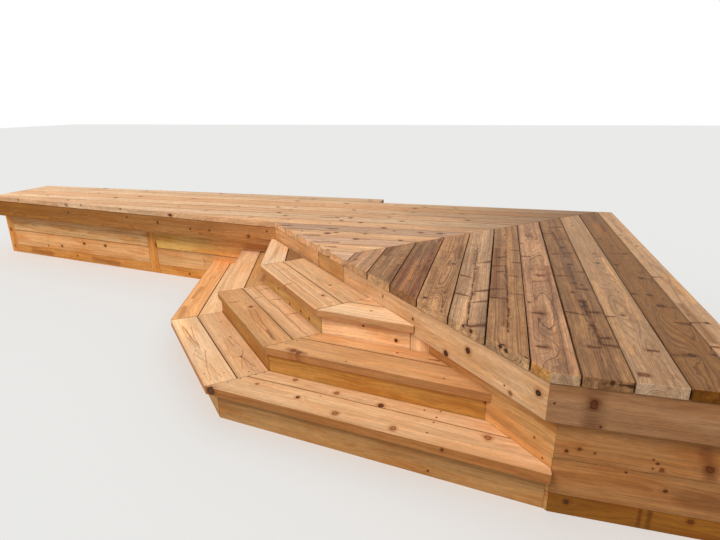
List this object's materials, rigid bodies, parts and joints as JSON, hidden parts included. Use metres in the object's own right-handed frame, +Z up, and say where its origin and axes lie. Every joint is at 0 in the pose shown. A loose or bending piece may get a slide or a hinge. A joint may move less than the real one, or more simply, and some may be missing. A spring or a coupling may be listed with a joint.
{
  "type": "wooden deck with wrap-around stairs",
  "caption": "Low cedar deck along a house corner with a cut-off front corner, where wrap-around steps in three straight sections climb to it.",
  "frame": {"origin": "middle of the footprint's bounding box, at ground level", "axes": "+X along the house's back wall towards the deep end with the front corner, +Y from the steps towards the house's back wall, +Z up"},
  "size_m": [5.343, 2.7092, 0.55],
  "materials": {
    "deck_cedar": "planed cedar deck boards, slightly greyed, bare",
    "tread_cedar": "planed fresh cedar, bare",
    "fascia_cedar": "planed fresh cedar, bare",
    "skirt_cedar": "planed fresh cedar, bare",
    "framing_timber": "sawn framing timber, bare"
  },
  "bodies": {
    "root": {"bottom_riser_left": "skirt_cedar", "bottom_riser_middle": "skirt_cedar", "bottom_riser_right": "skirt_cedar", "bottom_step_joists": "framing_timber", "bottom_tread_left": "tread_cedar", "bottom_tread_middle": "tread_cedar", "bottom_tread_right": "tread_cedar", "deck_boards_corner": "deck_cedar", "deck_boards_left": "deck_cedar", "deck_boards_right": "deck_cedar", "fascia_diagonal": "fascia_cedar", "fascia_front": "fascia_cedar", "fascia_left": "fascia_cedar", "fascia_left_end": "fascia_cedar", "joists_left": "framing_timber", "joists_right": "framing_timber", "ledger_back_left": "framing_timber", "ledger_back_right": "framing_timber", "ledger_notch": "framing_timber", "ledger_side": "framing_timber", "middle_riser_left": "skirt_cedar", "middle_riser_middle": "skirt_cedar", "middle_riser_right": "skirt_cedar", "middle_step_joists": "framing_timber", "middle_tread_left": "tread_cedar", "middle_tread_middle": "tread_cedar", "middle_tread_right": "tread_cedar", "mitre_beam": "framing_timber", "posts_back": "framing_timber", "posts_front": "framing_timber", "posts_side": "framing_timber", "skirt_diagonal": "skirt_cedar", "skirt_front": "skirt_cedar", "skirt_left_end": "skirt_cedar", "skirt_left_inner": "skirt_cedar", "skirt_left_outer": "skirt_cedar", "skirt_trims": "skirt_cedar", "top_riser_left": "skirt_cedar", "top_riser_middle": "skirt_cedar", "top_riser_right": "skirt_cedar", "top_step_joists": "framing_timber", "top_tread_left": "tread_cedar", "top_tread_middle": "tread_cedar", "top_tread_right": "tread_cedar"}
  },
  "joints": []
}
